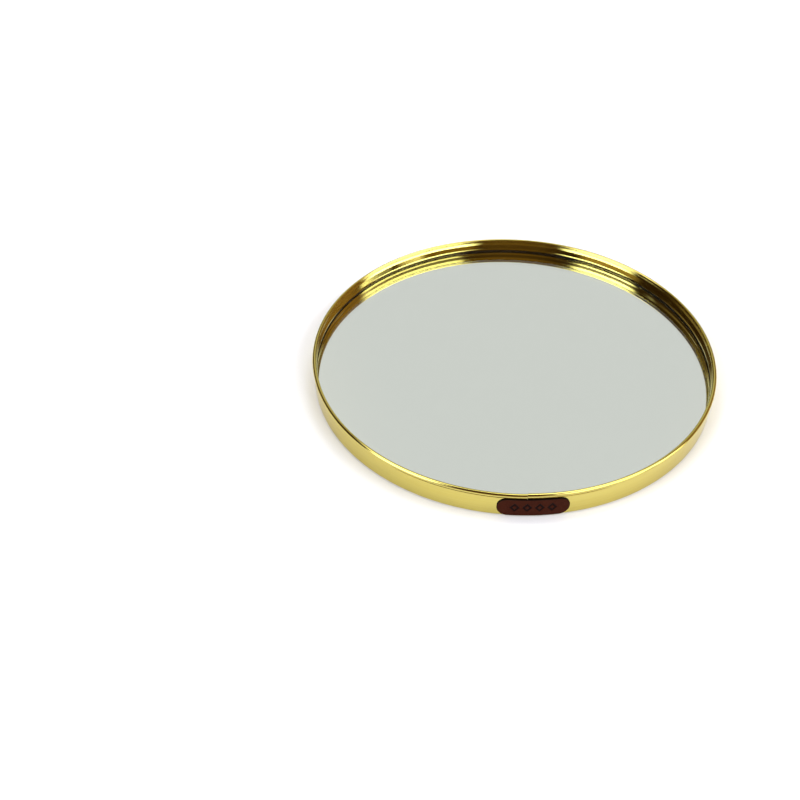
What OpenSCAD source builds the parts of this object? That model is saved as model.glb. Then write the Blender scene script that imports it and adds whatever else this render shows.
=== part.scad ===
// Round decorative tray: a gold aluminium ring closed around a mirror and its backing board.
// Millimetres, +Z up. The origin is on the ring's axis, on the table under the foot pads.
// The leather label faces -Y and hides the joint where the ring's two ends meet.

/* [Tray] */
// Outside diameter of the ring
tray_d = 300; // [200:5:400]
// Depth of the well, from the top of the bead down to the mirror
well_depth = 10.5; // [8:0.5:25]
// How far the foot pads stand out below the ring
foot_proud = 1.2; // [0.6:0.1:3]

/* [Ring profile] */
// Diameter of the round bead along the ring's top edge
bead_d = 3; // [2.6:0.1:3.6]
// How far the bead stands out past the ring's outer face
bead_proud = 0.3; // [0.1:0.1:0.6]
// Thickness of the ring's wall beside the panel
wall_t = 0.9; // [0.7:0.1:1.2]
// Thickness of the ring's wall just under the bead
neck_t = 1.85; // [1.7:0.05:2.1]
// Thickness of the ring's wall at the hollow under its neck
hollow_t = 1.5; // [1.3:0.1:1.7]
// How far the lip's nose reaches in over the mirror's edge
lip_lap = 0.75; // [0.65:0.05:1.2]
// How far the lip's foot reaches in over the mirror's edge
lip_foot_lap = 0.5; // [0.3:0.05:0.6]
// Height of the lip's nose above the mirror
lip_h = 1.8; // [1.4:0.1:3]
// Height of the slope between the lip's nose and the hollow
slope_h = 3.5; // [0.6:0.1:4]
// How far the ledge reaches in under the board's edge
ledge_lap = 5; // [2:0.2:12]
// Thickness of the ledge
ledge_t = 1.2; // [0.8:0.1:2]
// Radius broken on the ring's bottom edges
edge_r = 0.3; // [0.1:0.05:0.35]

/* [Panel] */
// Radial gap between the panel's edge and the rivets behind the wall
panel_gap = 0.1; // [0.1:0.05:0.6]
// Thickness of the mirror's glass
glass_t = 3; // [2:0.5:5]
// Bevel ground on the glass's sharp edges
arris = 0.3; // [0.2:0.1:0.8]
// Thickness of the silvering and its paint
backcoat_t = 0.1; // [0.06:0.02:0.2]
// Thickness of the foam tape between mirror and board
tape_t = 1; // [0.5:0.1:2]
// Width of each foam tape strip
tape_w = 18; // [10:1:24]
// Number of foam tape strips
tape_count = 5; // [3:1:7]
// Thickness of the backing board
board_t = 2.5; // [2:0.5:6]
// Thickness of the flock lining under the board
lining_t = 0.5; // [0.3:0.1:1]

/* [Foot pads] */
// Diameter of a foot pad
foot_d = 24; // [12:1:36]
// Number of foot pads
foot_count = 6; // [3:1:8]
// Distance from the ledge in to a foot pad's edge
foot_inset = 10; // [4:1:25]
// Radius on a foot pad's lower edge
foot_edge_r = 0.4; // [0.1:0.1:0.8]

/* [Seam and splice] */
// Gap between the two ends of the ring
seam_gap = 0.15; // [0.05:0.05:0.6]
// Distance along the ring from the label's middle to the seam
seam_shift = 4.2; // [0:0.2:5]
// Distance from the far rivet to the end of the splice plate
splice_end = 6; // [3:0.5:14]
// Gap above the splice plate and below it
splice_gap = 0.5; // [0.1:0.1:1.2]
// Thickness of the splice plate
splice_t = 0.5; // [0.4:0.1:1]
// Corner radius of the splice plate
splice_corner_r = 1; // [0.5:0.1:2]
// Distance along the ring from the seam to the near rivet on each side
rivet_near = 6; // [4:0.5:7]
// Distance between the two rivets on each side
rivet_pitch = 8; // [5:0.5:8]
// Diameter of a rivet's shank
rivet_d = 2; // [1.6:0.1:2.4]
// Diameter of a rivet's flush head and of its set end
rivet_head_d = 3.2; // [3:0.1:4]
// Depth of a rivet's countersunk head
rivet_head_t = 0.5; // [0.3:0.05:0.6]
// Thickness of a rivet's set end behind the plate
rivet_tail_t = 0.1; // [0.1:0.05:0.4]
// Radial clearance round a rivet and behind the splice plate
fit_gap = 0.05; // [0.02:0.01:0.1]

/* [Label] */
// Length of the leather label along the ring
label_l = 47; // [44:1:70]
// Corner radius of the label
label_corner_r = 7; // [2:0.5:8]
// Thickness of the leather
label_t = 0.6; // [0.5:0.1:1.8]
// Bare wall left under the label
label_lift = 0.4; // [0.3:0.1:2]
// Height from the label's top to the middle of the bead
label_drop = 1.9; // [1.7:0.1:3.5]
// Thickness of the adhesive film under the label
film_t = 0.15; // [0.1:0.05:0.3]
// How far the film's edge stays in from the label's edge
film_inset = 0.8; // [0.4:0.1:1.5]
// Depth of the pattern pressed into the leather
press_depth = 0.25; // [0.1:0.05:0.4]
// Height of the pressed lozenges
lozenge_h = 8; // [4:0.5:9]
// Width of the pressed lozenges
lozenge_w = 6.5; // [3:0.5:6.5]
// Width between the middles of neighbouring lozenges
lozenge_pitch = 8; // [7:0.5:9]
// Height of the small island left standing in each lozenge
island_h = 3.5; // [1:0.5:3.5]

/* [Hidden] */
$fn = 360;            // facets drawn round the ring
arc_sides = 72;       // facets drawn on the section's arcs and on the pads
hole_sides = 48;      // facets drawn on small round holes and shanks
full_turn = 360;
cut = 1;              // overrun of every cut past the face it opens
lozenge_count = 4;
round_share = 0.49;   // largest corner radius of the label, as a share of its height

// Ring
ring_r = tray_d / 2;
ring_z = foot_proud;
bead_r = bead_d / 2;
wall_r = ring_r - bead_proud;
neck_r = wall_r - neck_t;
hollow_r = wall_r - hollow_t;
ledge_top = ring_z + ledge_t;
groove_r = wall_r - wall_t;
splice_out_r = groove_r - fit_gap;
splice_in_r = splice_out_r - splice_t;
rivet_tail_r = splice_in_r - fit_gap - rivet_tail_t;

// Panel, stacked up from the ledge
panel_r = rivet_tail_r - panel_gap;
board_z = ledge_top + lining_t;
tape_z = board_z + board_t;
backcoat_z = tape_z + tape_t;
glass_z = backcoat_z + backcoat_t;
glass_top = glass_z + glass_t;
lip_r = panel_r - lip_lap;
lip_foot_r = panel_r - lip_foot_lap;
lip_top = glass_top + lip_h;
tray_h = glass_top + well_depth;
tape_pitch = 2 * panel_r / (tape_count + 1);
ledge_r = panel_r - ledge_lap;

// Foot pads, glued to the lining and clear of the ledge
foot_h = ledge_top;
foot_circle_r = ledge_r - foot_inset - foot_d / 2;

// Seam and splice, measured round the ring from the label's middle
label_az = -90;
function around(arc, radius) = arc / radius * 180 / PI;
seam_az = label_az - around(seam_shift, wall_r);
splice_z = (ledge_top + glass_top) / 2;
splice_h = glass_top - ledge_top - 2 * splice_gap;
splice_l = 2 * (rivet_near + rivet_pitch + splice_end);
rivet_arcs = [-rivet_near - rivet_pitch, -rivet_near, rivet_near, rivet_near + rivet_pitch];
rivet_head_r = wall_r - fit_gap;

// Label
film_out_r = wall_r + film_t;
label_out_r = film_out_r + label_t;
label_foot = ring_z + label_lift;
label_h = tray_h - bead_r - label_drop - label_foot;
label_z = label_foot + label_h / 2;
label_round = min(label_corner_r, label_h * round_share);

// Small shared shapes

// Rectangle with true round corners, centred on the origin
module rounded_rect(length, height, corner_r) {
    square([length - 2 * corner_r, height], center = true);
    square([length, height - 2 * corner_r], center = true);
    for (x = [-1, 1], y = [-1, 1])
        translate([x * (length / 2 - corner_r), y * (height / 2 - corner_r)])
            circle(r = corner_r, $fn = arc_sides);
}

// Closed tube from in_r to out_r between two heights
module tube(in_r, out_r, z0, z1) {
    translate([0, 0, z0])
        difference() {
            cylinder(r = out_r, h = z1 - z0);
            translate([0, 0, -cut])
                cylinder(r = in_r, h = z1 - z0 + 2 * cut);
        }
}

// A curved patch between two radii at azimuth az and height z, trimmed to the flat shape given as its
// child, which stands upright inside the tube and is pushed straight out through it
module curved_patch(in_r, out_r, az, z, height) {
    half_tube = height / 2 + cut;
    intersection() {
        tube(in_r, out_r, z - half_tube, z + half_tube);
        rotate([0, 0, az])
            translate([in_r / 2, 0, z])
                rotate([90, 0, 90])
                    linear_extrude(out_r)
                        children();
    }
}

// Ring

// Half section of the extrusion, with the ring's axis at x = 0
module ring_profile() {
    bead_x = ring_r - bead_r;
    bead_y = tray_h - bead_r;

    // wall beside the panel
    translate([groove_r, ring_z + edge_r])
        square([wall_t, glass_top + lip_h / 2 - ring_z - edge_r]);
    // ledge under the board, with its edges broken
    translate([ledge_r + edge_r, ring_z])
        square([wall_r - ledge_r - 2 * edge_r, ledge_t]);
    translate([ledge_r, ring_z + edge_r])
        square([wall_r - ledge_r, ledge_t - 2 * edge_r]);
    for (x = [ledge_r + edge_r, wall_r - edge_r], y = [ring_z + edge_r, ledge_top - edge_r])
        translate([x, y])
            circle(r = edge_r, $fn = hole_sides);
    // lip on the mirror's edge, the slope above its nose, the hollow and the wall up to the bead
    polygon([[lip_foot_r, glass_top], [wall_r, glass_top], [wall_r, bead_y], [neck_r, bead_y],
             [hollow_r, lip_top + slope_h], [lip_r, lip_top]]);
    // bead, proud of the wall on both sides
    translate([bead_x, bead_y])
        circle(r = bead_r, $fn = arc_sides);
}

module rivet_places() {
    for (arc = rivet_arcs)
        rotate([0, 0, seam_az + around(arc, wall_r)])
            translate([0, 0, splice_z])
                rotate([0, 90, 0])
                    children();
}

module rim_ring() {
    half_gap = around(seam_gap / 2, wall_r);
    color([0.85, 0.71, 0.33])
        difference() {
            rotate([0, 0, seam_az + half_gap])
                rotate_extrude(angle = full_turn - 2 * half_gap)
                    ring_profile();
            rivet_places() {
                translate([0, 0, groove_r - cut])
                    cylinder(d = rivet_d + 2 * fit_gap, h = wall_t + 2 * cut, $fn = hole_sides);
                translate([0, 0, rivet_head_r - rivet_head_t - fit_gap])
                    cylinder(d1 = rivet_d + 2 * fit_gap, d2 = rivet_head_d + 2 * fit_gap,
                             h = rivet_head_t, $fn = hole_sides);
                translate([0, 0, rivet_head_r - fit_gap])
                    cylinder(d = rivet_head_d + 2 * fit_gap, h = cut, $fn = hole_sides);
            }
        }
}

// Splice

module splice_plate() {
    color([0.62, 0.63, 0.65])
        difference() {
            curved_patch(splice_in_r, splice_out_r, seam_az, splice_z, splice_h)
                rounded_rect(splice_l, splice_h, splice_corner_r);
            rivet_places()
                translate([0, 0, splice_in_r - cut])
                    cylinder(d = rivet_d + 2 * fit_gap, h = splice_t + 2 * cut, $fn = hole_sides);
        }
}

module splice_rivets() {
    color([0.78, 0.79, 0.8])
        rivet_places() {
            translate([0, 0, rivet_tail_r])
                cylinder(d = rivet_head_d, h = rivet_tail_t, $fn = hole_sides);
            translate([0, 0, rivet_tail_r])
                cylinder(d = rivet_d, h = rivet_head_r - rivet_tail_r, $fn = hole_sides);
            translate([0, 0, rivet_head_r - rivet_head_t])
                cylinder(d1 = rivet_d, d2 = rivet_head_d, h = rivet_head_t, $fn = hole_sides);
        }
}

// Label

// Row of plain lozenges, each with a small island left standing in its middle
module pressed_pattern() {
    for (i = [0 : lozenge_count - 1])
        translate([(i - (lozenge_count - 1) / 2) * lozenge_pitch, 0])
            difference() {
                lozenge(lozenge_w, lozenge_h);
                lozenge(island_h * lozenge_w / lozenge_h, island_h);
            }
}

module lozenge(width, height) {
    polygon([[-width / 2, 0], [0, -height / 2], [width / 2, 0], [0, height / 2]]);
}

module leather_label() {
    color([0.3, 0.14, 0.09])
        difference() {
            curved_patch(film_out_r, label_out_r, label_az, label_z, label_h)
                rounded_rect(label_l, label_h, label_round);
            curved_patch(label_out_r - press_depth, label_out_r + cut, label_az, label_z, lozenge_h)
                pressed_pattern();
        }
}

module label_film() {
    color([0.9, 0.88, 0.8])
        curved_patch(wall_r, film_out_r, label_az, label_z, label_h)
            rounded_rect(label_l - 2 * film_inset, label_h - 2 * film_inset, label_round - film_inset);
}

// Mirror

module mirror_glass() {
    color([0.8, 0.86, 0.84])
        translate([0, 0, glass_z]) {
            cylinder(r1 = panel_r - arris, r2 = panel_r, h = arris);
            translate([0, 0, arris])
                cylinder(r = panel_r, h = glass_t - 2 * arris);
            translate([0, 0, glass_t - arris])
                cylinder(r1 = panel_r, r2 = panel_r - arris, h = arris);
        }
}

module mirror_backcoat() {
    color([0.75, 0.77, 0.76])
        translate([0, 0, backcoat_z])
            cylinder(r = panel_r - arris, h = backcoat_t);
}

// Strips of double-sided foam tape laid side by side across the board
module tape_strip(i) {
    y = (i - (tape_count + 1) / 2) * tape_pitch;
    reach = panel_r - tape_w / 2;
    half_l = sqrt(reach * reach - y * y);
    color([0.93, 0.93, 0.9])
        translate([-half_l, y - tape_w / 2, tape_z])
            cube([2 * half_l, tape_w, tape_t]);
}

// Board, lining and foot pads

module backing_board() {
    color([0.66, 0.52, 0.36])
        translate([0, 0, board_z])
            cylinder(r = panel_r, h = board_t);
}

module base_lining() {
    color([0.12, 0.12, 0.12])
        translate([0, 0, ledge_top])
            cylinder(r = panel_r, h = lining_t);
}

module foot_pad(i) {
    color([0.2, 0.2, 0.2])
        rotate([0, 0, (i - 0.5) * full_turn / foot_count])
            translate([foot_circle_r, 0, 0])
                rotate_extrude($fn = arc_sides) {
                    square([foot_d / 2 - foot_edge_r, foot_h]);
                    translate([0, foot_edge_r])
                        square([foot_d / 2, foot_h - foot_edge_r]);
                    translate([foot_d / 2 - foot_edge_r, foot_edge_r])
                        circle(r = foot_edge_r, $fn = hole_sides);
                }
}

rim_ring();
splice_plate();
splice_rivets();
leather_label();
label_film();
mirror_glass();
mirror_backcoat();
backing_board();
base_lining();
for (i = [1 : tape_count])
    tape_strip(i);
for (i = [1 : foot_count])
    foot_pad(i);
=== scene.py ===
import math

import bpy
from mathutils import Matrix, Vector


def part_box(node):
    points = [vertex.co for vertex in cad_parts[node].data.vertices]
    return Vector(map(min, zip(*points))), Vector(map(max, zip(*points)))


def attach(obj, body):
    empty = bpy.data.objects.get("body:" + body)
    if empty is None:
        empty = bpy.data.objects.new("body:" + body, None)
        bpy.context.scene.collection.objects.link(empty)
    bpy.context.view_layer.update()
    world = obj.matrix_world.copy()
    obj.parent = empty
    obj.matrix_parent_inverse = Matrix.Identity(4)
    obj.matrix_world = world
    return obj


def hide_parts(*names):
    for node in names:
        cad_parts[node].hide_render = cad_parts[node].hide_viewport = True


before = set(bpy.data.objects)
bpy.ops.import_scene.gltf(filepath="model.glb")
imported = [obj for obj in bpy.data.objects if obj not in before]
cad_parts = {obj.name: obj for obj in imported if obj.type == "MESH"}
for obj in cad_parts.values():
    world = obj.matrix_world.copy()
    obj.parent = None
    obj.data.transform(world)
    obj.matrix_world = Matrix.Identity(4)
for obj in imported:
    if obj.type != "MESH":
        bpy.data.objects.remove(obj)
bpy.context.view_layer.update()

# Rim ring. One straight length of gold anodised aluminium profile, bent round until its two ends meet at the
# label. Its section has a round bead on top with a fine crease under it, a hollow inside, a slope to a lip
# that laps over the mirror's edge, and a ledge that turns in under the base.
ring_low, ring_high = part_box("rim_ring")
glass_low, glass_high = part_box("mirror_glass")
lining_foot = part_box("base_lining")[0].z
ring_r = round(ring_high.x, 4)
ring_foot = ring_low.z
ring_top = ring_high.z
pane_r = round(glass_high.x, 4)
bead_r = 0.0015
bead_proud = 0.0003
crease_depth = 0.00015
crease_h = 0.0003
wall_r = ring_r - bead_proud
wall_t = 0.0009
neck_t = 0.00185
hollow_t = 0.0015
lip_lap = 0.00075
lip_foot_lap = 0.0005
lip_h = 0.0018
slope_h = 0.0035
ledge_lap = 0.005
edge_r = 0.0003
lip_edge_r = 0.00012
bead_steps = 70
wall_steps = 8
edge_steps = 5
lip_edge_steps = 4
ring_segments = 600
sharp_turn = math.radians(24)
seam_gap = 0.00015
seam_shift = 0.0042
seam_up = 0.00022
seam_down = 0.00026
seam_reach = 0.045
front = math.radians(-90)
gold_bright = (0.610, 0.525, 0.152, 1)
gold_deep = (0.575, 0.475, 0.118, 1)
gold_glance = (1.0, 0.97, 0.86, 1)
gold_rough = 0.06
gold_line_haze = 0.02
gold_smudge_haze = 0.04
gold_speck_haze = 0.25
gold_line_depth = 0.0000012


def arc(centre, radius, start, end, steps):
    """Points on an arc from one angle to another, in degrees, with both ends."""
    angles = [math.radians(start + (end - start) * i / steps) for i in range(steps + 1)]
    return [(centre[0] + radius * math.cos(a), centre[1] + radius * math.sin(a)) for a in angles]


def eased(before, corner, after, radius):
    """A corner of an outline, rounded to a radius."""
    here = Vector(corner)
    back_way = (Vector(before) - here).normalized()
    fore_way = (Vector(after) - here).normalized()
    half = back_way.angle(fore_way) / 2
    centre = here + (back_way + fore_way).normalized() * radius / math.sin(half)
    first = here + back_way * radius / math.tan(half) - centre
    last = here + fore_way * radius / math.tan(half) - centre
    start = math.degrees(math.atan2(first.y, first.x))
    turn = math.degrees(math.atan2(first.x * last.y - first.y * last.x, first.dot(last)))
    return arc(centre, radius, start, start + turn, lip_edge_steps)


def ring_section():
    """The profile's outline as (radius, height), from the ledge's inner corner outwards and up."""
    groove_r = wall_r - wall_t
    neck_r = wall_r - neck_t
    hollow_r = wall_r - hollow_t
    lip_r = pane_r - lip_lap
    lip_top = glass_high.z + lip_h
    ledge_r = pane_r - ledge_lap
    bead_at = (ring_r - bead_r, ring_top - bead_r)
    outer_turn = -math.degrees(math.acos((wall_r - crease_depth - bead_at[0]) / bead_r))
    neck = Vector((neck_r - bead_at[0], 0))
    lean = Vector((hollow_r - neck_r, lip_top + slope_h - bead_at[1]))
    along = neck.dot(lean)
    reach = math.sqrt(along ** 2 + lean.length_squared * (bead_r ** 2 - neck.length_squared)) - along
    touch = neck + lean * reach / lean.length_squared
    inner_turn = 360 + math.degrees(math.atan2(touch.y, touch.x))
    bead = arc(bead_at, bead_r, outer_turn, inner_turn, bead_steps)
    wall_foot = ring_foot + edge_r
    wall_head = bead[0][1] - crease_h
    wall = [(wall_r, wall_foot + (wall_head - wall_foot) * i / wall_steps) for i in range(1, wall_steps + 1)]
    step = [bead[-1], (hollow_r, lip_top + slope_h), (lip_r, lip_top),
            (pane_r - lip_foot_lap, glass_high.z), (groove_r, glass_high.z)]
    return (
        arc((ledge_r + edge_r, ring_foot + edge_r), edge_r, 180, 270, edge_steps)
        + arc((wall_r - edge_r, ring_foot + edge_r), edge_r, 270, 360, edge_steps)
        + wall
        + bead
        + eased(*step[0:3], lip_edge_r)
        + eased(*step[1:4], lip_edge_r)
        + eased(*step[2:5], lip_edge_r)
        + [(groove_r, glass_high.z), (groove_r, lining_foot)]
        + arc((ledge_r + edge_r, lining_foot - edge_r), edge_r, 90, 180, edge_steps)[:-1]
    )


def linked(name, data):
    """A new object for a mesh or a camera, in the scene."""
    piece = bpy.data.objects.new(name, data)
    bpy.context.scene.collection.objects.link(piece)
    return piece


def outline_mesh(name, points):
    """A closed loop of edges in the XY plane."""
    mesh = bpy.data.meshes.new(name)
    count = len(points)
    mesh.from_pydata([(x, y, 0) for x, y in points], [(i, (i + 1) % count) for i in range(count)], [])
    return linked(name, mesh)


def add_node(tree, kind, inputs=None, **settings):
    """Adds a node, sets its properties, and sets or links its inputs."""
    made = tree.nodes.new(kind)
    for name, value in settings.items():
        setattr(made, name, value)
    for key, value in (inputs or {}).items():
        if isinstance(value, bpy.types.NodeSocket):
            tree.links.new(value, made.inputs[key])
        else:
            made.inputs[key].default_value = value
    return made


def calc(tree, operation, *values):
    """A Math node's result."""
    return add_node(tree, "ShaderNodeMath", dict(enumerate(values)), operation=operation).outputs[0]


def new_tree(name, kind, inputs, outputs):
    """A node group with named sockets, given as (name, type, value)."""
    tree = bpy.data.node_groups.new(name, kind)
    for in_out, sockets in (("INPUT", inputs), ("OUTPUT", outputs)):
        for label, socket, *value in sockets:
            made = tree.interface.new_socket(label, in_out=in_out, socket_type="NodeSocket" + socket)
            if value:
                made.default_value = value[0]
    source = tree.nodes.new("NodeGroupInput").outputs
    sink = tree.nodes.new("NodeGroupOutput").inputs
    return tree, source, sink


def run_tree(piece, tree, **values):
    """Runs a geometry tree on a piece with the inputs given by name and leaves a plain mesh."""
    modifier = piece.modifiers.new(tree.name, "NODES")
    modifier.node_group = tree
    for item in tree.interface.items_tree:
        if item.in_out == "INPUT" and item.name.replace(" ", "_").lower() in values:
            modifier[item.identifier] = values[item.name.replace(" ", "_").lower()]
    piece.update_tag()
    shape = piece.evaluated_get(bpy.context.evaluated_depsgraph_get())
    mesh = bpy.data.meshes.new_from_object(shape)
    piece.modifiers.clear()
    old = piece.data
    piece.data = mesh
    mesh.name = piece.name
    bpy.data.meshes.remove(old)
    return piece


def bend_tree():
    """Sweeps a section along a straight length and bends it round until the ends meet."""
    tree, given, result = new_tree(
        "bent_length", "GeometryNodeTree",
        [("Section", "Geometry"), ("Segments", "Int", 100), ("Radius", "Float"), ("Seam angle", "Float"),
         ("Seam gap", "Float"), ("Foot", "Float"), ("Top", "Float"), ("Up", "Float"), ("Down", "Float"),
         ("Reach", "Float"), ("Finish", "Material")],
        [("Geometry", "Geometry")])
    section = add_node(tree, "GeometryNodeMeshToCurve", {0: given["Section"]})
    kept_section = add_node(tree, "GeometryNodeCaptureAttribute", {0: section.outputs[0]})
    kept_section.capture_items.new("VECTOR", "Section point")
    tree.links.new(add_node(tree, "GeometryNodeInputPosition").outputs[0], kept_section.inputs[1])
    line = add_node(tree, "GeometryNodeCurvePrimitiveLine", {"End": (1, 0, 0)})
    points = calc(tree, "ADD", given["Segments"], 1.0)
    stock = add_node(tree, "GeometryNodeResampleCurve", {"Curve": line.outputs[0], "Count": points})
    kept_line = add_node(tree, "GeometryNodeCaptureAttribute", {0: stock.outputs[0]})
    kept_line.capture_items.new("FLOAT", "Share")
    tree.links.new(add_node(tree, "GeometryNodeSplineParameter").outputs["Factor"], kept_line.inputs[1])
    sweep = add_node(tree, "GeometryNodeCurveToMesh", {
        "Curve": kept_line.outputs[0], "Profile Curve": kept_section.outputs[0], "Fill Caps": True})
    share = kept_line.outputs[1]
    point = add_node(tree, "ShaderNodeSeparateXYZ", {0: kept_section.outputs[1]})
    turn = calc(tree, "SUBTRACT", math.tau, given["Seam gap"])
    start = calc(tree, "ADD", given["Seam angle"], calc(tree, "MULTIPLY", given["Seam gap"], 0.5))
    angle = calc(tree, "ADD", start, calc(tree, "MULTIPLY", share, turn))
    length = calc(tree, "MULTIPLY", given["Radius"], turn)
    lift = []
    for side, step in ((share, given["Up"]), (calc(tree, "SUBTRACT", 1.0, share), given["Down"])):
        near = add_node(tree, "ShaderNodeMapRange", {
            "Value": calc(tree, "MULTIPLY", side, length), "From Max": given["Reach"],
            "To Min": 1.0, "To Max": 0.0}, interpolation_type="SMOOTHSTEP")
        lift.append(calc(tree, "MULTIPLY", near.outputs[0], step))
    rise = calc(tree, "DIVIDE", calc(tree, "SUBTRACT", point.outputs["Y"], given["Foot"]),
                calc(tree, "SUBTRACT", given["Top"], given["Foot"]))
    step = calc(tree, "MULTIPLY", calc(tree, "SUBTRACT", *lift), rise)
    place = add_node(tree, "ShaderNodeCombineXYZ", {
        "X": calc(tree, "MULTIPLY", point.outputs["X"], calc(tree, "COSINE", angle)),
        "Y": calc(tree, "MULTIPLY", point.outputs["X"], calc(tree, "SINE", angle)),
        "Z": calc(tree, "ADD", point.outputs["Y"], step)})
    bent = add_node(tree, "GeometryNodeSetPosition", {0: sweep.outputs[0], "Position": place.outputs[0]})
    smooth = add_node(tree, "GeometryNodeSetShadeSmooth", {0: bent.outputs[0]})
    corner = add_node(tree, "FunctionNodeCompare", {
        "A": add_node(tree, "GeometryNodeInputMeshEdgeAngle").outputs[0],
        "B": sharp_turn}, operation="GREATER_THAN")
    sharp = add_node(tree, "GeometryNodeSetShadeSmooth", {
        0: smooth.outputs[0], "Selection": corner.outputs[0], "Shade Smooth": False}, domain="EDGE")
    real = add_node(tree, "GeometryNodeRealizeInstances", {0: sharp.outputs[0]})
    done = add_node(tree, "GeometryNodeSetMaterial", {0: real.outputs[0], "Material": given["Finish"]})
    tree.links.new(done.outputs[0], result[0])
    return tree


def ramp(tree, value, low, high, at_low=0.0, at_high=1.0):
    """Takes a value smoothly from one level to another between two limits."""
    return add_node(tree, "ShaderNodeMapRange", {
        "Value": value, "From Min": low, "From Max": high, "To Min": at_low, "To Max": at_high},
        interpolation_type="SMOOTHSTEP").outputs[0]


def noise(tree, vector, scale, detail, rough, **more):
    """A noise texture's height."""
    return add_node(tree, "ShaderNodeTexNoise", {
        "Vector": vector, "Scale": scale, "Detail": detail, "Roughness": rough, **more}).outputs["Fac"]


def blend(tree, share, first, second):
    """A colour between two others."""
    made = add_node(tree, "ShaderNodeMix", {0: share, 6: first, 7: second}, data_type="RGBA")
    return made.outputs[2]


def object_place(tree):
    """The place on the tray, in metres."""
    return add_node(tree, "ShaderNodeTexCoord").outputs["Object"]


def bump(tree, height, distance):
    """The normal of a surface whose relief is this deep, in metres."""
    return add_node(tree, "ShaderNodeBump", {
        "Height": height, "Distance": distance, "Strength": 1.0}).outputs[0]


def drawn_lines_tree():
    """Fine lines along a length that runs round the tray: the marks of a die or of a brush."""
    tree, given, result = new_tree(
        "drawn_lines", "ShaderNodeTree",
        [("Spacing", "Float", 0.0004), ("Run", "Float", 0.06), ("Fineness", "Float", 3.0)],
        [("Lines", "Float"), ("Bands", "Float")])
    point = add_node(tree, "ShaderNodeSeparateXYZ", {0: object_place(tree)}).outputs
    across = calc(tree, "SQRT", calc(tree, "ADD", calc(tree, "MULTIPLY", point[0], point[0]),
                                     calc(tree, "MULTIPLY", point[1], point[1])))
    for name, widen in (("Lines", 1.0), ("Bands", 6.0)):
        pitch = calc(tree, "MULTIPLY", given["Spacing"], widen)
        place = add_node(tree, "ShaderNodeCombineXYZ", {
            "X": calc(tree, "DIVIDE", point[0], given["Run"]),
            "Y": calc(tree, "DIVIDE", point[1], given["Run"]),
            "Z": calc(tree, "DIVIDE", point[2], pitch)})
        made = add_node(tree, "ShaderNodeTexNoise", {
            "Vector": place.outputs[0], "W": calc(tree, "DIVIDE", across, pitch), "Scale": 1.0,
            "Detail": given["Fineness"], "Roughness": 0.6}, noise_dimensions="4D")
        tree.links.new(ramp(tree, made.outputs["Fac"], 0.3, 0.7), result[name])
    return tree


def handling_tree():
    """Where hands and dust have been: soft smudges and a few specks."""
    tree, given, result = new_tree(
        "handling", "ShaderNodeTree",
        [("Smudge size", "Float", 0.03), ("Speck spacing", "Float", 0.012), ("Speck size", "Float", 0.0002)],
        [("Smudges", "Float"), ("Specks", "Float")])
    place = object_place(tree)
    wide = noise(tree, place, calc(tree, "DIVIDE", 1.0, given["Smudge size"]), 2.0, 0.5, Distortion=0.8)
    fine = noise(tree, place, calc(tree, "DIVIDE", 9.0, given["Smudge size"]), 4.0, 0.6)
    smudges = calc(tree, "MULTIPLY", ramp(tree, wide, 0.48, 0.72), ramp(tree, fine, 0.3, 0.65))
    tree.links.new(smudges, result["Smudges"])
    speck = add_node(tree, "ShaderNodeTexVoronoi", {
        "Vector": place, "Scale": calc(tree, "DIVIDE", 1.0, given["Speck spacing"])})
    share = calc(tree, "DIVIDE", given["Speck size"], given["Speck spacing"])
    away = calc(tree, "DIVIDE", speck.outputs["Distance"], share)
    tree.links.new(ramp(tree, away, 1.2, 0.6), result["Specks"])
    return tree


def new_material(name, **constants):
    """A material with its node tree and its Principled inputs, with these set."""
    material = bpy.data.materials.new(name)
    material.use_nodes = True
    inputs = material.node_tree.nodes["Principled BSDF"].inputs
    for key, value in constants.items():
        inputs[key.replace("_", " ")].default_value = value
    return material, material.node_tree, inputs


def use_group(tree, group, **values):
    """Places a shader group in a material with its values, and gives its outputs."""
    made = add_node(tree, "ShaderNodeGroup", node_tree=group)
    for key, value in values.items():
        made.inputs[key.replace("_", " ")].default_value = value
    return made.outputs


drawn_lines = drawn_lines_tree()
handling = handling_tree()

gold, tree, shader = new_material("gold_anodised", Metallic=1.0, Specular_Tint=gold_glance)
marks = use_group(tree, drawn_lines, Spacing=0.00035, Run=0.09, Fineness=3.0)
hands = use_group(tree, handling, Smudge_size=0.045, Speck_spacing=0.011, Speck_size=0.00012)
shade = calc(tree, "ADD", calc(tree, "MULTIPLY", marks["Bands"], 0.6),
             calc(tree, "MULTIPLY", marks["Lines"], 0.3))
tree.links.new(blend(tree, shade, gold_bright, gold_deep), shader["Base Color"])
haze = calc(tree, "ADD", calc(tree, "MULTIPLY", marks["Lines"], gold_line_haze),
            calc(tree, "MULTIPLY", hands["Smudges"], gold_smudge_haze))
haze = calc(tree, "ADD", haze, calc(tree, "MULTIPLY", hands["Specks"], gold_speck_haze))
tree.links.new(calc(tree, "ADD", haze, gold_rough), shader["Roughness"])
tree.links.new(bump(tree, marks["Bands"], gold_line_depth), shader["Normal"])

gold_ring = outline_mesh("gold_ring", ring_section())
run_tree(gold_ring, bend_tree(), segments=ring_segments, radius=ring_r,
         seam_angle=front - seam_shift / wall_r, seam_gap=seam_gap / wall_r,
         foot=ring_foot, top=ring_top, up=seam_up, down=seam_down, reach=seam_reach, finish=gold)
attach(gold_ring, "root")
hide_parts("rim_ring")

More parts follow.
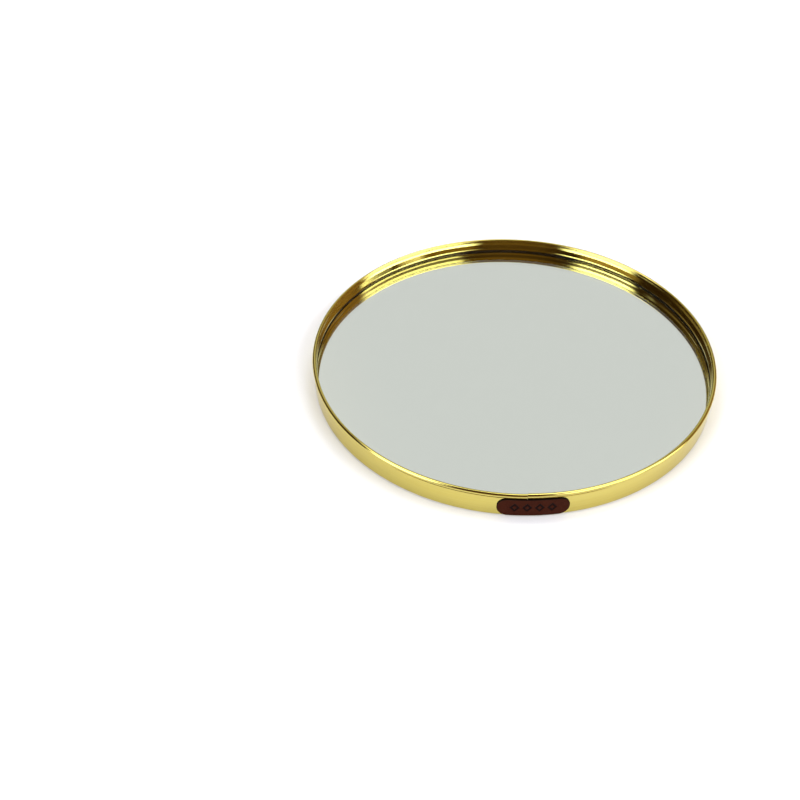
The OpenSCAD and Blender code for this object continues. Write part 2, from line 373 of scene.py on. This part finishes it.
# Splice. An aluminium plate, rolled to the ring's curve and brushed along its length, lies behind the wall
# and joins the ring's two ends. Four solid aluminium rivets, set flush from outside, hold it.
plate_bright = (0.84, 0.84, 0.83, 1)
plate_dark = (0.66, 0.665, 0.67, 1)
plate_rough = 0.28
plate_line_haze = 0.12
plate_smudge_haze = 0.1
brush_depth = 0.000012
rivet_bright = (0.80, 0.80, 0.79, 1)
rivet_dark = (0.55, 0.55, 0.56, 1)
dent_scale = 2600.0
dent_depth = 0.00003


def dress(node, material):
    """Gives a CAD node its finish."""
    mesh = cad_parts[node].data
    mesh.materials.clear()
    mesh.materials.append(material)


brushed, tree, shader = new_material("brushed_aluminium", Metallic=1.0)
marks = use_group(tree, drawn_lines, Spacing=0.00012, Run=0.012, Fineness=4.0)
hands = use_group(tree, handling, Smudge_size=0.012, Speck_spacing=0.006, Speck_size=0.0002)
tree.links.new(blend(tree, marks["Lines"], plate_bright, plate_dark), shader["Base Color"])
haze = calc(tree, "ADD", calc(tree, "MULTIPLY", marks["Bands"], plate_line_haze),
            calc(tree, "MULTIPLY", hands["Smudges"], plate_smudge_haze))
tree.links.new(calc(tree, "ADD", haze, plate_rough), shader["Roughness"])
tree.links.new(bump(tree, marks["Lines"], brush_depth), shader["Normal"])
dress("splice_plate", brushed)

struck, tree, shader = new_material("struck_aluminium", Metallic=1.0)
dents = noise(tree, object_place(tree), dent_scale, 4.0, 0.6)
hands = use_group(tree, handling, Smudge_size=0.006, Speck_spacing=0.003, Speck_size=0.00015)
tree.links.new(blend(tree, hands["Smudges"], rivet_bright, rivet_dark), shader["Base Color"])
tree.links.new(ramp(tree, dents, 0.3, 0.7, 0.3, 0.5), shader["Roughness"])
tree.links.new(bump(tree, dents, dent_depth), shader["Normal"])
dress("splice_rivets", struck)

# Label. A round-ended piece of brown coated leather, 0.6 mm thick, stuck to the ring's wall with a
# double-sided adhesive film. Its edges are painted dark, and a heated die has pressed a row of four plain
# lozenges into it.
label_low, label_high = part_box("leather_label")
label_l = 0.047
label_t = 0.0006
label_corner_r = 0.007
film_t = 0.00015
label_back_r = wall_r + film_t
label_edge_r = 0.0002
edge_insets = [0, 0.00001, 0.00003, 0.00007, 0.00013, label_edge_r]
edge_levels = (0.66, 0.33)
paint_full = 0.00025
paint_end = 0.0006
grain_step = 0.00022
corner_steps = 36
press_depth = 0.00025
press_slope = 0.00016
lozenge_count = 4
lozenge_pitch = 0.008
lozenge_half = (0.00325, 0.004)
island_share = 3.5 / 8
leather_brown = (0.050, 0.0104, 0.0034, 1)
leather_deep = (0.034, 0.0060, 0.0020, 1)
leather_pressed = (0.0075, 0.0012, 0.0007, 1)
edge_paint = (0.004, 0.0018, 0.0015, 1)
pebble_scale = 1500.0
stray_scale = 900.0
pebble_stray = 0.0004
pore_scale = 5200.0
tone_scale = 90.0
furrow_share = 0.55
furrow_dull = 0.12
pressed_flat = 0.75
pressed_gloss = 0.14
grain_depth = 0.00005
film_pale = (0.78, 0.77, 0.72, 1)
film_dull = (0.60, 0.58, 0.52, 1)
streak_scale = 420.0
bubble_scale = 700.0
film_relief = 0.00002


def smooth_step(value, low, high):
    """Goes smoothly from 0 to 1 as a value passes from one limit to another."""
    share = min(1, max(0, (value - low) / (high - low)))
    return share * share * (3 - 2 * share)


def pressed_share(x, y):
    """How far the die has pressed at a place on the label, from 0 to 1."""
    across = (x + lozenge_pitch * lozenge_count / 2) % lozenge_pitch - lozenge_pitch / 2
    if abs(x) > lozenge_pitch * lozenge_count / 2:
        return 0
    a, b = lozenge_half
    reach = a * b / math.hypot(a, b)
    out = abs(across) / a + abs(y) / b
    outer = smooth_step((1 - out) * reach, -press_slope, press_slope)
    island = smooth_step((island_share - out) * reach, -press_slope, press_slope)
    return outer * (1 - island)


def label_piece():
    """The label as rows of points, wrapped round the wall, with its pressing and its edge marked."""
    half_l, half_h = label_l / 2, (label_high.z - label_low.z) / 2
    flat_h = half_h - label_corner_r
    turns = [math.radians(90 * i / corner_steps) for i in range(corner_steps + 1)]
    top = [(flat_h + label_corner_r * math.cos(a), half_l - label_corner_r + label_corner_r * math.sin(a))
           for a in turns]
    middle_rows = round(2 * flat_h / grain_step)
    middle = [(flat_h - 2 * flat_h * i / middle_rows, half_l) for i in range(1, middle_rows)]
    rows = top + middle + [(-y, w) for y, w in reversed(top)]
    rows.reverse()
    columns = round(2 * half_l / grain_step)
    centre_z = (label_low.z + label_high.z) / 2
    places, lifts, presses, edges = [], [], [], []
    for y, width in rows:
        inner = width - edge_insets[-1]
        xs = [-(width - s) for s in edge_insets] + [inner * (2 * i / columns - 1) for i in range(1, columns)]
        xs += [width - s for s in reversed(edge_insets)]
        for x in xs:
            qx, qy = abs(x) - (half_l - label_corner_r), abs(y) - flat_h
            inset = label_corner_r - math.hypot(max(qx, 0), max(qy, 0)) - min(max(qx, qy), 0)
            round_off = max(0, label_edge_r - max(0, inset))
            fall = label_edge_r - math.sqrt(max(0, label_edge_r ** 2 - round_off ** 2))
            press = pressed_share(x, y)
            places.append((x, y))
            lifts.append(label_t - fall - press_depth * press)
            presses.append(press)
            edges.append(1 - smooth_step(inset, paint_full, paint_end))
    wide = len(xs)
    tall = len(rows)
    rim = (list(range(wide))
           + [j * wide + wide - 1 for j in range(1, tall)]
           + [(tall - 1) * wide + i for i in reversed(range(wide - 1))]
           + [j * wide for j in reversed(range(1, tall - 1))])
    verts, press_values, edge_values = [], [], []

    def put(index, lift):
        x, y = places[index]
        turn = front + x / label_back_r
        radius = label_back_r + lift
        verts.append((radius * math.cos(turn), radius * math.sin(turn), centre_z + y))
        return len(verts) - 1

    front_ids = [put(i, lifts[i]) for i in range(len(places))]
    press_values += presses
    edge_values += edges
    back_ids = [put(i, 0) for i in range(len(places))]
    press_values += [0] * len(places)
    edge_values += edges
    loops = [[front_ids[i] for i in rim]]
    for level in edge_levels:
        loops.append([put(i, level * (label_t - label_edge_r)) for i in rim])
        press_values += [0] * len(rim)
        edge_values += [1] * len(rim)
    loops.append([back_ids[i] for i in rim])
    faces = []
    for j in range(tall - 1):
        for i in range(wide - 1):
            k = j * wide + i
            faces.append((front_ids[k], front_ids[k + 1], front_ids[k + wide + 1], front_ids[k + wide]))
            faces.append((back_ids[k], back_ids[k + wide], back_ids[k + wide + 1], back_ids[k + 1]))
    count = len(rim)
    for upper, lower in zip(loops, loops[1:]):
        faces += [(upper[i], lower[i], lower[(i + 1) % count], upper[(i + 1) % count]) for i in range(count)]
    mesh = bpy.data.meshes.new("pressed_label")
    mesh.from_pydata(verts, [], faces)
    for name, values in (("pressed", press_values), ("painted_edge", edge_values)):
        mesh.attributes.new(name, "FLOAT", "POINT").data.foreach_set("value", values)
    mesh.shade_smooth()
    return linked("pressed_label", mesh)


leather, tree, shader = new_material("brown_leather", Specular_IOR_Level=0.04)
place = object_place(tree)
pressed = add_node(tree, "ShaderNodeAttribute", attribute_name="pressed").outputs["Fac"]
painted = add_node(tree, "ShaderNodeAttribute", attribute_name="painted_edge").outputs["Fac"]
wander = add_node(tree, "ShaderNodeTexNoise", {"Vector": place, "Scale": stray_scale, "Detail": 2.0})
stray = add_node(tree, "ShaderNodeVectorMath", {
    0: wander.outputs["Color"], 1: (pebble_stray, pebble_stray, pebble_stray)}, operation="MULTIPLY")
loose = add_node(tree, "ShaderNodeVectorMath", {0: place, 1: stray.outputs[0]}, operation="ADD").outputs[0]
cells = add_node(tree, "ShaderNodeTexVoronoi", {
    "Vector": loose, "Scale": pebble_scale}, feature="DISTANCE_TO_EDGE")
pebble = ramp(tree, cells.outputs["Distance"], 0.02, 0.28)
pores = noise(tree, place, pore_scale, 4.0, 0.6)
tone = noise(tree, place, tone_scale, 4.0, 0.55)
worked = calc(tree, "MAXIMUM", pressed, painted)
flatten = calc(tree, "SUBTRACT", 1.0, calc(tree, "MULTIPLY", worked, pressed_flat))
grain = calc(tree, "MULTIPLY", pebble, flatten)
# The colour darkens in the furrows between the pebbles, which is painted shade in the grain's hollows, and
# also with the leather's own random tone.
furrow = calc(tree, "MULTIPLY", calc(tree, "SUBTRACT", 1.0, pebble), furrow_share)
tone_and_furrow_shade = calc(tree, "ADD", furrow, ramp(tree, tone, 0.3, 0.75, 0.0, 0.5))
colour = blend(tree, tone_and_furrow_shade, leather_brown, leather_deep)
colour = blend(tree, pressed, colour, leather_pressed)
colour = blend(tree, painted, colour, edge_paint)
tree.links.new(colour, shader["Base Color"])
dull = calc(tree, "ADD", ramp(tree, pores, 0.3, 0.7, 0.52, 0.66), calc(tree, "MULTIPLY", furrow, furrow_dull))
dull = calc(tree, "SUBTRACT", dull, calc(tree, "MULTIPLY", worked, pressed_gloss))
tree.links.new(dull, shader["Roughness"])
relief = calc(tree, "ADD", grain, calc(tree, "MULTIPLY", pores, 0.3))
tree.links.new(bump(tree, relief, grain_depth), shader["Normal"])

pressed_label = label_piece()
pressed_label.data.materials.append(leather)
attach(pressed_label, "root")
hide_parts("leather_label")

film, tree, shader = new_material("adhesive_film", IOR=1.47, Coat_Weight=0.4, Coat_Roughness=0.12)
place = object_place(tree)
streaks = noise(tree, place, streak_scale, 5.0, 0.6, Distortion=1.5)
bubbles = add_node(tree, "ShaderNodeTexVoronoi", {"Vector": place, "Scale": bubble_scale}).outputs["Distance"]
bubble = ramp(tree, bubbles, 0.22, 0.1)
tree.links.new(blend(tree, ramp(tree, streaks, 0.3, 0.7), film_pale, film_dull), shader["Base Color"])
tree.links.new(ramp(tree, streaks, 0.3, 0.7, 0.22, 0.42), shader["Roughness"])
tree.links.new(bump(tree, calc(tree, "ADD", streaks, bubble), film_relief), shader["Normal"])
dress("label_film", film)

# Mirror. A round pane of 3 mm float glass, silvered on its back, with a grey protective paint over the
# silver. Its edge is ground, sealed with dark paint and hidden under the ring's lip.
arris = 0.0003
glass_lift = 0.00003
pane_segments = 360
glass_body = (0.955, 0.982, 0.968, 1)
glass_smudge_haze = 0.035
glass_speck_haze = 0.3
sealer_dark = (0.012, 0.009, 0.007, 1)
sealer_pale = (0.024, 0.019, 0.014, 1)
sealer_scale = 700.0
sealer_relief = 0.00004
silver_bright = (0.940, 0.945, 0.935, 1)
paint_grey = (0.23, 0.25, 0.26, 1)
paint_shade = (0.17, 0.185, 0.195, 1)
mottle_scale = 160.0
drip_scale = 1800.0
paint_relief = 0.00006


def lathe(name, points, steps, material):
    """A closed solid turned about Z from a half section whose two ends are on the axis."""
    verts, faces = [], []
    inner = points[1:-1]
    for i in range(steps):
        turn = math.tau * i / steps
        verts += [(x * math.cos(turn), x * math.sin(turn), z) for x, z in inner]
    rows = len(inner)
    for i in range(steps):
        j = (i + 1) % steps
        faces += [(i * rows + k, j * rows + k, j * rows + k + 1, i * rows + k + 1) for k in range(rows - 1)]
    faces.append([i * rows for i in reversed(range(steps))])
    faces.append([i * rows + rows - 1 for i in range(steps)])
    mesh = bpy.data.meshes.new(name)
    mesh.from_pydata(verts, [], faces)
    mesh.materials.append(material)
    return linked(name, mesh)


glass, tree, shader = new_material("float_glass", IOR=1.52, Transmission_Weight=1.0, Base_Color=glass_body)
hands = use_group(tree, handling, Smudge_size=0.07, Speck_spacing=0.016, Speck_size=0.00012)
haze = calc(tree, "ADD", calc(tree, "MULTIPLY", hands["Smudges"], glass_smudge_haze),
            calc(tree, "MULTIPLY", hands["Specks"], glass_speck_haze))
tree.links.new(haze, shader["Roughness"])

sealer, tree, shader = new_material("edge_sealer", Specular_IOR_Level=0.15)
brushing = noise(tree, object_place(tree), sealer_scale, 4.0, 0.6)
tree.links.new(blend(tree, ramp(tree, brushing, 0.3, 0.7), sealer_dark, sealer_pale), shader["Base Color"])
tree.links.new(ramp(tree, brushing, 0.3, 0.7, 0.7, 0.9), shader["Roughness"])
tree.links.new(bump(tree, brushing, sealer_relief), shader["Normal"])

pane_foot = glass_low.z + glass_lift
glass_pane = lathe("glass_pane", [
    (0, pane_foot), (pane_r - arris, pane_foot), (pane_r, pane_foot + arris), (pane_r, glass_high.z - arris),
    (pane_r - arris, glass_high.z), (0, glass_high.z)], pane_segments, glass)
glass_pane.data.materials.append(sealer)
for face in glass_pane.data.polygons:
    if face.center.xy.length > pane_r - arris:
        face.material_index = 1
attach(glass_pane, "root")
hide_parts("mirror_glass")

silvering, tree, shader = new_material("silvering")
back_low, back_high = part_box("mirror_backcoat")
place = object_place(tree)
height = add_node(tree, "ShaderNodeSeparateXYZ", {0: place}).outputs[2]
bright_side = calc(tree, "GREATER_THAN", height, (back_low.z + back_high.z) / 2)
mottle = noise(tree, place, mottle_scale, 5.0, 0.6)
drips = noise(tree, place, drip_scale, 3.0, 0.5)
paint = blend(tree, ramp(tree, mottle, 0.3, 0.7), paint_grey, paint_shade)
tree.links.new(blend(tree, bright_side, paint, silver_bright), shader["Base Color"])
tree.links.new(bright_side, shader["Metallic"])
painted_side = calc(tree, "SUBTRACT", 1.0, bright_side)
dull = ramp(tree, mottle, 0.3, 0.7, 0.42, 0.58)
tree.links.new(calc(tree, "MULTIPLY", dull, painted_side), shader["Roughness"])
skin = calc(tree, "MULTIPLY", drips, painted_side)
tree.links.new(bump(tree, skin, paint_relief), shader["Normal"])
dress("mirror_backcoat", silvering)

# Base. A disc of brown fibreboard under the mirror, held to it by five strips of white foam tape. A black
# flock lining is glued to its underside.
tape_white = (0.86, 0.86, 0.84, 1)
tape_pore_shade = (0.66, 0.66, 0.63, 1)
tape_relief = 0.0001
small_cell_ratio = 2.3
board_dark = (0.215, 0.118, 0.058, 1)
board_pale = (0.42, 0.26, 0.135, 1)
board_cloud = (0.17, 0.09, 0.045, 1)
board_relief = 0.00012
strand_stretch = 0.16
strand_scale = 3200.0
cross_strand_scale = 2900.0
cloud_scale = 60.0
flock_dark = (0.010, 0.010, 0.011, 1)
flock_pale = (0.042, 0.042, 0.045, 1)
flock_nap_sheen = (0.030, 0.030, 0.033, 1)
flock_sheen = (0.62, 0.62, 0.66, 1)
pile_scale = 5200.0
tuft_scale = 3400.0
nap_scale = 38.0
flock_relief = 0.00022


def foam_tree():
    """The skin of a cut foam: small cells of many sizes."""
    tree, given, result = new_tree(
        "foam_cells", "ShaderNodeTree",
        [("Cell", "Float", 0.0004)],
        [("Height", "Float"), ("Holes", "Float")])
    place = object_place(tree)
    scale = calc(tree, "DIVIDE", 1.0, given["Cell"])
    large = add_node(tree, "ShaderNodeTexVoronoi", {"Vector": place, "Scale": scale}).outputs["Distance"]
    small = add_node(tree, "ShaderNodeTexVoronoi", {
        "Vector": place, "Scale": calc(tree, "MULTIPLY", scale, small_cell_ratio)}).outputs["Distance"]
    both = calc(tree, "MULTIPLY", ramp(tree, large, 0.1, 0.45), ramp(tree, small, 0.05, 0.4))
    tree.links.new(both, result["Height"])
    tree.links.new(calc(tree, "SUBTRACT", 1.0, both), result["Holes"])
    return tree


foam_cells = foam_tree()

tape, tree, shader = new_material("foam_tape", Subsurface_Weight=0.15, Subsurface_Scale=0.0006)
cells = use_group(tree, foam_cells, Cell=0.00045)
# The tape's white greys in the foam's holes: painted shade in the pores.
tree.links.new(blend(tree, cells["Holes"], tape_white, tape_pore_shade), shader["Base Color"])
tree.links.new(ramp(tree, cells["Holes"], 0.0, 1.0, 0.55, 0.8), shader["Roughness"])
tree.links.new(bump(tree, cells["Height"], tape_relief), shader["Normal"])
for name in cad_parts:
    if name.startswith("tape_strip"):
        dress(name, tape)

fibre, tree, shader = new_material("brown_fibreboard")
place = object_place(tree)
along = add_node(tree, "ShaderNodeMapping", {"Vector": place, "Scale": (1, strand_stretch, 1)}).outputs[0]
over = add_node(tree, "ShaderNodeMapping", {"Vector": place, "Scale": (strand_stretch, 1, 1)}).outputs[0]
strands = calc(tree, "MAXIMUM", noise(tree, along, strand_scale, 4.0, 0.6, Distortion=0.6),
               noise(tree, over, cross_strand_scale, 4.0, 0.6, Distortion=0.6))
cloud = noise(tree, place, cloud_scale, 4.0, 0.6)
colour = blend(tree, ramp(tree, strands, 0.42, 0.72), board_dark, board_pale)
colour = blend(tree, ramp(tree, cloud, 0.35, 0.7, 0.0, 0.4), colour, board_cloud)
tree.links.new(colour, shader["Base Color"])
tree.links.new(ramp(tree, strands, 0.4, 0.75, 0.82, 0.66), shader["Roughness"])
tree.links.new(bump(tree, strands, board_relief), shader["Normal"])
dress("backing_board", fibre)

flock, tree, shader = new_material("black_flock", Sheen_Weight=0.55, Sheen_Roughness=0.45,
                                   Sheen_Tint=flock_sheen, Specular_IOR_Level=0.2)
place = object_place(tree)
pile = noise(tree, place, pile_scale, 3.0, 0.7)
tufts = add_node(tree, "ShaderNodeTexVoronoi", {"Vector": place, "Scale": tuft_scale}).outputs["Distance"]
nap = noise(tree, place, nap_scale, 3.0, 0.5, Distortion=1.2)
fluff = calc(tree, "ADD", calc(tree, "MULTIPLY", pile, 0.6), calc(tree, "MULTIPLY", tufts, 0.5))
colour = blend(tree, ramp(tree, fluff, 0.25, 0.75), flock_dark, flock_pale)
# Lighter patches where the nap lies another way are a painted sheen.
colour = blend(tree, ramp(tree, nap, 0.35, 0.7, 0.0, 0.55), colour, flock_nap_sheen)
tree.links.new(colour, shader["Base Color"])
tree.links.new(ramp(tree, nap, 0.3, 0.7, 0.86, 0.98), shader["Roughness"])
tree.links.new(bump(tree, fluff, flock_relief), shader["Normal"])
dress("base_lining", flock)

# Feet. Six round pads punched from black foam, with a soft edge from the punch, stuck on in a circle near the
# rim. They lift the ring a little over a millimetre off the table.
pad_low, pad_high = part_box("foot_pad_1")
foot_d = 0.024
foot_circle_r = 0.121
foot_count = 6
foot_first_angle = math.radians(30)
foot_edge_r = 0.0004
foot_edge_steps = 6
pad_segments = 72
foam_black = (0.034, 0.034, 0.036, 1)
foam_pore_shade = (0.010, 0.010, 0.011, 1)
foam_dust = (0.05, 0.05, 0.052, 1)
dust_scale = 150.0
foam_relief = 0.00012


def spread_tree():
    """Sets copies of a piece round a circle."""
    tree, given, result = new_tree(
        "round_a_circle", "GeometryNodeTree",
        [("Pad", "Geometry"), ("Count", "Int", 6), ("Radius", "Float"), ("First angle", "Float"),
         ("Finish", "Material")],
        [("Geometry", "Geometry")])
    line = add_node(tree, "GeometryNodeMeshLine", {"Count": given["Count"], "Offset": (0, 0, 0)})
    turn = calc(tree, "DIVIDE", math.tau, given["Count"])
    index = add_node(tree, "GeometryNodeInputIndex").outputs[0]
    angle = calc(tree, "ADD", given["First angle"], calc(tree, "MULTIPLY", index, turn))
    place = add_node(tree, "ShaderNodeCombineXYZ", {
        "X": calc(tree, "MULTIPLY", given["Radius"], calc(tree, "COSINE", angle)),
        "Y": calc(tree, "MULTIPLY", given["Radius"], calc(tree, "SINE", angle))})
    spots = add_node(tree, "GeometryNodeSetPosition", {0: line.outputs[0], "Position": place.outputs[0]})
    turned_pad = add_node(tree, "ShaderNodeCombineXYZ", {"Z": angle})
    copies = add_node(tree, "GeometryNodeInstanceOnPoints", {
        "Points": spots.outputs[0], "Instance": given["Pad"], "Rotation": turned_pad.outputs[0]})
    real = add_node(tree, "GeometryNodeRealizeInstances", {0: copies.outputs[0]})
    done = add_node(tree, "GeometryNodeSetMaterial", {0: real.outputs[0], "Material": given["Finish"]})
    tree.links.new(done.outputs[0], result[0])
    return tree


foam, tree, shader = new_material("black_foam", Specular_IOR_Level=0.35)
cells = use_group(tree, foam_cells, Cell=0.00032)
dust = noise(tree, object_place(tree), dust_scale, 3.0, 0.5)
# The foam is darker in its holes: painted shade in the pores.
colour = blend(tree, cells["Holes"], foam_black, foam_pore_shade)
colour = blend(tree, ramp(tree, dust, 0.35, 0.7, 0.0, 0.4), colour, foam_dust)
tree.links.new(colour, shader["Base Color"])
tree.links.new(ramp(tree, cells["Holes"], 0.0, 1.0, 0.7, 0.92), shader["Roughness"])
tree.links.new(bump(tree, cells["Height"], foam_relief), shader["Normal"])

pad_r = foot_d / 2
pad_section = ([(0, pad_low.z)]
               + arc((pad_r - foot_edge_r, pad_low.z + foot_edge_r), foot_edge_r, 270, 360, foot_edge_steps)
               + [(pad_r, pad_high.z), (0, pad_high.z)])
foot_pads = lathe("foot_pads", pad_section, pad_segments, foam)
run_tree(foot_pads, spread_tree(), count=foot_count, radius=foot_circle_r, first_angle=foot_first_angle,
         finish=foam)
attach(foot_pads, "root")
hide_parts(*[f"foot_pad_{i + 1}" for i in range(foot_count)])

# Table. A wide sheet of matt white paper lies under the tray. It is a little rough, so it shines nowhere and
# gives the gold a plain white ground to mirror.
floor_half = 3.0
paper_white = (0.94, 0.94, 0.94, 1)
paper_shade = (0.92, 0.92, 0.92, 1)
tooth_scale = 900.0
paper, tree, shader = new_material("white_paper", Specular_IOR_Level=0.2)
tooth = noise(tree, object_place(tree), tooth_scale, 4.0, 0.6)
tree.links.new(blend(tree, ramp(tree, tooth, 0.3, 0.7), paper_white, paper_shade), shader["Base Color"])
tree.links.new(ramp(tree, tooth, 0.3, 0.7, 0.7, 0.85), shader["Roughness"])
mesh = bpy.data.meshes.new("table")
mesh.from_pydata([(-floor_half, -floor_half, 0), (floor_half, -floor_half, 0), (floor_half, floor_half, 0),
                  (-floor_half, floor_half, 0)], [], [(0, 1, 2, 3)])
mesh.materials.append(paper)
table = linked("table", mesh)

# Light. Two ceiling boxes with a gap between them, a box on the left, and one on the right with a strip and
# two low windows under it. A pale wall stands behind the tray. The rest is a dim warm room, which draws the
# dark lines in the gold. The camera itself sees only a plain pale backdrop.
backdrop_colour = (0.97, 0.97, 0.97, 1)
room_light = (0.045, 0.022, 0.007)
ceiling_light = (4.30, 4.40, 4.60)
side_light = (5.40, 5.55, 6.00)
least_ahead = 0.001

# Each box's azimuth and elevation in degrees, its half width, half height and soft edge for one metre of
# distance, and its light.
boxes = [
    (50, 65, 0.25, 0.19, 0.06, ceiling_light),  # ceiling, behind on the right
    (130, 67, 0.22, 0.18, 0.06, ceiling_light),  # ceiling, behind on the left
    (209, 33, 0.30, 0.34, 0.08, side_light),  # left box
    (329, 42, 0.54, 0.17, 0.10, side_light),  # right box
    (328, 22, 0.60, 0.14, 0.06, (2.60, 2.60, 2.40)),  # strip under the right box
    (325, 3, 0.12, 0.10, 0.06, (3.00, 2.90, 2.40)),  # low window, nearer to the camera
    (348, 4, 0.16, 0.10, 0.05, (3.20, 3.10, 2.70)),  # low window, straight to the right
    (312, 4, 0.45, 0.11, 0.10, (0.36, 0.22, 0.05)),  # warm wall beside the windows
    (208, 6, 0.30, 0.10, 0.10, (0.70, 0.50, 0.20)),  # warm wall under the left box
    (82, 0, 0.47, 1.58, 0.18, (0.65, 0.67, 0.66)),  # pale wall behind
    (124, 42, 0.24, 0.20, 0.22, (0.26, 0.20, 0.11)),  # dim wall above it, on the left
    (24, 28, 0.42, 0.45, 0.28, (0.36, 0.20, 0.06)),  # warm wall on the right
    (266, 30, 0.45, 0.45, 0.35, (0.19, 0.11, 0.035)),  # dim wall behind the camera
]


def softbox_tree():
    """How much of a box's light comes from a direction: a soft-edged rectangle seen from the tray."""
    tree, given, result = new_tree(
        "softbox", "ShaderNodeTree",
        [("Direction", "Vector"), ("Azimuth", "Float"), ("Elevation", "Float"), ("Half width", "Float"),
         ("Half height", "Float"), ("Softness", "Float", 0.1)],
        [("Light", "Float")])
    aim = add_node(tree, "ShaderNodeCombineXYZ", {
        "Y": calc(tree, "MULTIPLY", given["Elevation"], -1.0), "Z": given["Azimuth"]})
    seen = add_node(tree, "ShaderNodeVectorRotate", {
        "Vector": given["Direction"], "Rotation": aim.outputs[0]}, rotation_type="EULER_XYZ", invert=True)
    point = add_node(tree, "ShaderNodeSeparateXYZ", {0: seen.outputs[0]}).outputs
    ahead = calc(tree, "MAXIMUM", point[0], least_ahead)
    light = calc(tree, "GREATER_THAN", point[0], least_ahead)
    for side, half in ((point[1], given["Half width"]), (point[2], given["Half height"])):
        off = calc(tree, "ABSOLUTE", calc(tree, "DIVIDE", side, ahead))
        edge = ramp(tree, off, calc(tree, "ADD", half, given["Softness"]),
                    calc(tree, "SUBTRACT", half, given["Softness"]))
        light = calc(tree, "MULTIPLY", light, edge)
    tree.links.new(light, result[0])
    return tree


world = bpy.data.worlds.new("studio")
bpy.context.scene.world = world
world.use_nodes = True
tree = world.node_tree
softbox = softbox_tree()
direction = add_node(tree, "ShaderNodeTexCoord").outputs["Generated"]
light = None
for azimuth, elevation, half_width, half_height, softness, colour in boxes:
    box = add_node(tree, "ShaderNodeGroup", node_tree=softbox)
    tree.links.new(direction, box.inputs["Direction"])
    for key, value in (("Azimuth", math.radians(azimuth)), ("Elevation", math.radians(elevation)),
                       ("Half width", half_width), ("Half height", half_height), ("Softness", softness)):
        box.inputs[key].default_value = value
    light = add_node(tree, "ShaderNodeVectorMath", {
        0: box.outputs[0], 1: colour, 2: light or room_light}, operation="MULTIPLY_ADD").outputs[0]
sky = tree.nodes["Background"]
tree.links.new(light, sky.inputs["Color"])
backdrop = add_node(tree, "ShaderNodeBackground", {"Color": backdrop_colour})
camera_ray = add_node(tree, "ShaderNodeLightPath").outputs["Is Camera Ray"]
seen = add_node(tree, "ShaderNodeMixShader", {0: camera_ray, 1: sky.outputs[0], 2: backdrop.outputs[0]})
tree.links.new(seen.outputs[0], tree.nodes["World Output"].inputs[0])
bpy.context.scene.view_settings.view_transform = "Standard"

# Camera. It looks down at the tray from the front, a little to its right, and leans slightly, as the
# photograph's does.
view_turn = math.radians(0.85)
view_elevation = math.radians(42.59)
view_roll = math.radians(-1.90)
view_distance = 4.328 * ring_r
view_target = Vector((-0.567 * ring_r, -0.231 * ring_r, 0))
lens_mm = 39.35
sensor_mm = 36.0

camera_data = bpy.data.cameras.new("camera")
camera_data.lens = lens_mm
camera_data.sensor_width = sensor_mm
camera_data.clip_start = 0.01
camera_data.clip_end = 50
camera = linked("camera", camera_data)
bpy.context.scene.camera = camera

back = Vector((0, -math.cos(view_elevation), math.sin(view_elevation)))
right = Vector((1, 0, 0))
up = back.cross(right)
turn = Matrix.Rotation(view_turn, 3, "Z")
axes = [turn @ (math.cos(view_roll) * right + math.sin(view_roll) * up),
        turn @ (math.cos(view_roll) * up - math.sin(view_roll) * right),
        turn @ back]
stand = Matrix(axes).transposed().to_4x4()
stand.translation = turn @ (view_target + view_distance * back)
camera.matrix_world = stand
